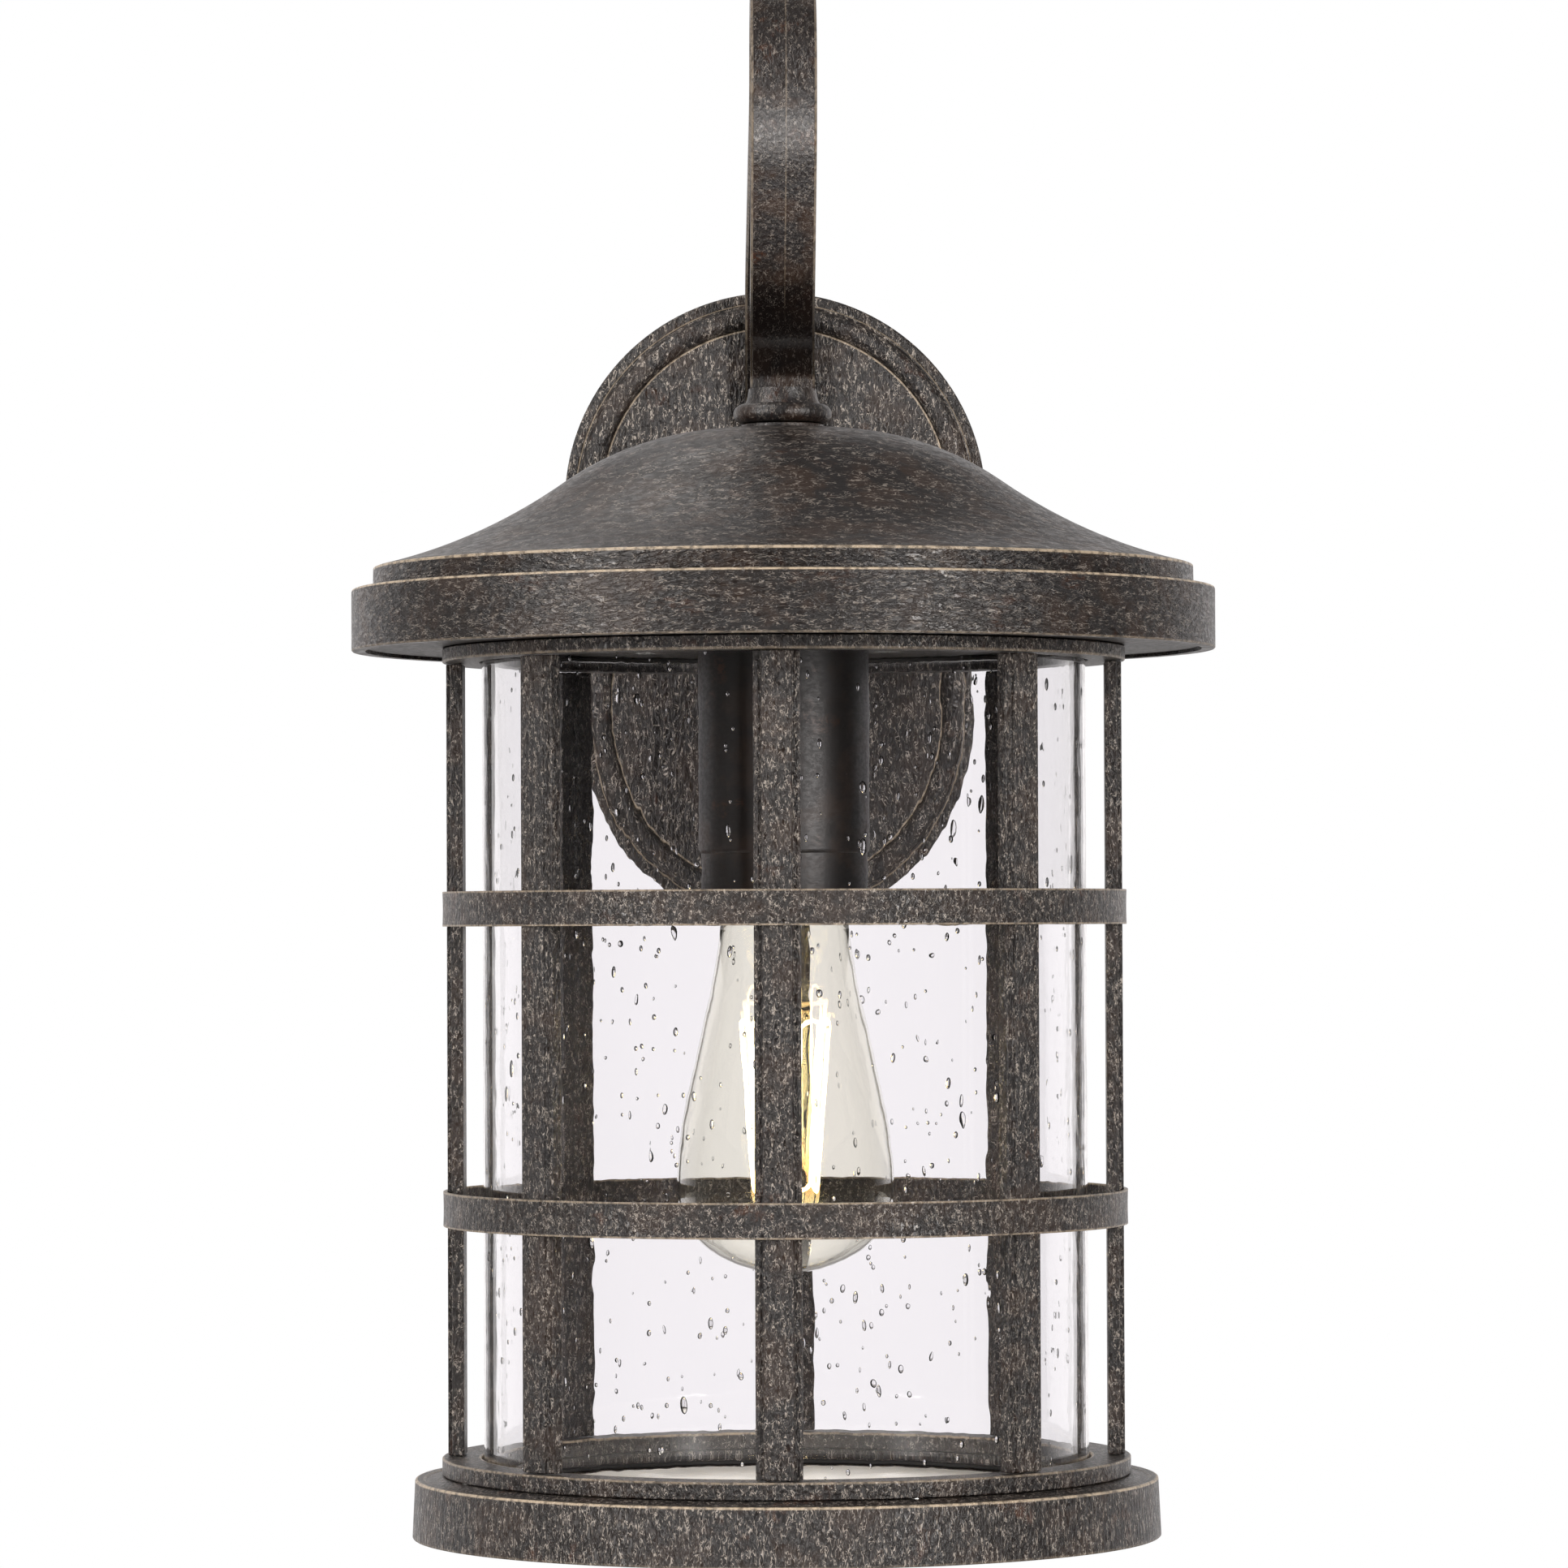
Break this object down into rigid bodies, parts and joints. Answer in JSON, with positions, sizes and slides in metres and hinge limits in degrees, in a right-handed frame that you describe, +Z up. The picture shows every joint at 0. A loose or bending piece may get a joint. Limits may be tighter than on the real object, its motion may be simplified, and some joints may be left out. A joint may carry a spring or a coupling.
{
  "type": "outdoor wall lantern",
  "caption": "Wall lantern: hook-shaped strap arm on a capsule backplate carries a round roof, a barred cage with a seeded glass cylinder and a filament bulb.",
  "frame": {"origin": "middle of the crossbar's back face, where it lies on the wall's junction box", "axes": "+Y into the wall, -Y towards the room, +Z up, +X to the right for someone facing the wall"},
  "size_m": [0.254, 0.292, 0.4507],
  "materials": {
    "textured_bronze": "textured dark bronze powder coat with rubbed edges",
    "satin_bronze": "satin dark bronze",
    "zinc_plate": "bright zinc plate",
    "brass": "plain",
    "porcelain": "glazed",
    "rubber": "matte",
    "seeded_glass": "clear with seeds and slight waves",
    "bulb_glass": "amber tint",
    "tungsten": "glowing filament",
    "black_insulation": "matte",
    "white_insulation": "matte",
    "green_insulation": "matte",
    "green_screw": "painted",
    "orange_nut": "semi-gloss"
  },
  "bodies": {
    "fixture": {"arm_screw_lower": "zinc_plate", "arm_screw_upper": "zinc_plate", "backplate": "textured_bronze", "base_ring": "textured_bronze", "base_screw_1": "zinc_plate", "base_screw_2": "zinc_plate", "base_screw_3": "zinc_plate", "cage_band_lower": "textured_bronze", "cage_band_upper": "textured_bronze", "cage_bar_1": "textured_bronze", "cage_bar_2": "textured_bronze", "cage_bar_3": "textured_bronze", "cage_bar_4": "textured_bronze", "cage_bar_5": "textured_bronze", "cage_bar_6": "textured_bronze", "cage_bar_7": "textured_bronze", "cage_bar_8": "textured_bronze", "cage_bottom_ring": "textured_bronze", "cage_screw_1": "zinc_plate", "cage_screw_2": "zinc_plate", "cage_screw_3": "zinc_plate", "cage_top_ring": "textured_bronze", "collar_washer": "textured_bronze", "crossbar": "zinc_plate", "glass_cylinder": "seeded_glass", "glass_seal_lower": "rubber", "glass_seal_upper": "rubber", "ground_screw": "green_screw", "hook_arm": "textured_bronze", "lamp_pipe": "zinc_plate", "roof": "textured_bronze", "roof_nut": "zinc_plate", "roof_pan": "satin_bronze", "socket_body": "porcelain", "socket_bracket": "zinc_plate", "socket_contact": "brass", "socket_cover": "satin_bronze", "socket_nut": "zinc_plate", "socket_shell": "brass", "stud_left": "zinc_plate", "stud_right": "zinc_plate", "wall_gasket": "rubber", "wire_ground": "green_insulation", "wire_line": "black_insulation", "wire_neutral": "white_insulation", "wire_nut_line": "orange_nut", "wire_nut_neutral": "orange_nut"},
    "bulb": {"bulb_cap": "zinc_plate", "bulb_contact": "brass", "bulb_filament": "tungsten", "bulb_glass": "bulb_glass", "bulb_insulator": "rubber", "bulb_stem": "seeded_glass"},
    "cap_nut_left": {"cap_nut_left": "textured_bronze"},
    "cap_nut_right": {"cap_nut_right": "textured_bronze"},
    "base_pan": {"base_pan": "satin_bronze"},
    "thumb_screw_1": {"thumb_screw_1": "brass"},
    "thumb_screw_2": {"thumb_screw_2": "brass"},
    "thumb_screw_3": {"thumb_screw_3": "brass"}
  },
  "joints": [
    {"name": "bulb_turn", "type": "hinge", "parent": "fixture", "child": "bulb", "pos_m": [0, -0.165, -0.09], "axis": [0, 0, 1], "continuous": true},
    {"name": "cap_nut_left_turn", "type": "hinge", "parent": "fixture", "child": "cap_nut_left", "pos_m": [-0.033, -0.02, 0], "axis": [0, -1, 0], "continuous": true},
    {"name": "cap_nut_right_turn", "type": "hinge", "parent": "fixture", "child": "cap_nut_right", "pos_m": [0.033, -0.02, 0], "axis": [0, -1, 0], "continuous": true},
    {"name": "base_pan_drop", "type": "slide", "parent": "fixture", "child": "base_pan", "axis": [0, 0, -1], "range_m": [0, 0.15]},
    {"name": "thumb_screw_1_turn", "type": "hinge", "parent": "base_pan", "child": "thumb_screw_1", "pos_m": [-0.0033, -0.25494, -0.272], "axis": [0, 0, 1], "continuous": true},
    {"name": "thumb_screw_2_turn", "type": "hinge", "parent": "base_pan", "child": "thumb_screw_2", "pos_m": [0.07954, -0.12289, -0.272], "axis": [0, 0, 1], "continuous": true},
    {"name": "thumb_screw_3_turn", "type": "hinge", "parent": "base_pan", "child": "thumb_screw_3", "pos_m": [-0.07624, -0.11717, -0.272], "axis": [0, 0, 1], "continuous": true}
  ]
}
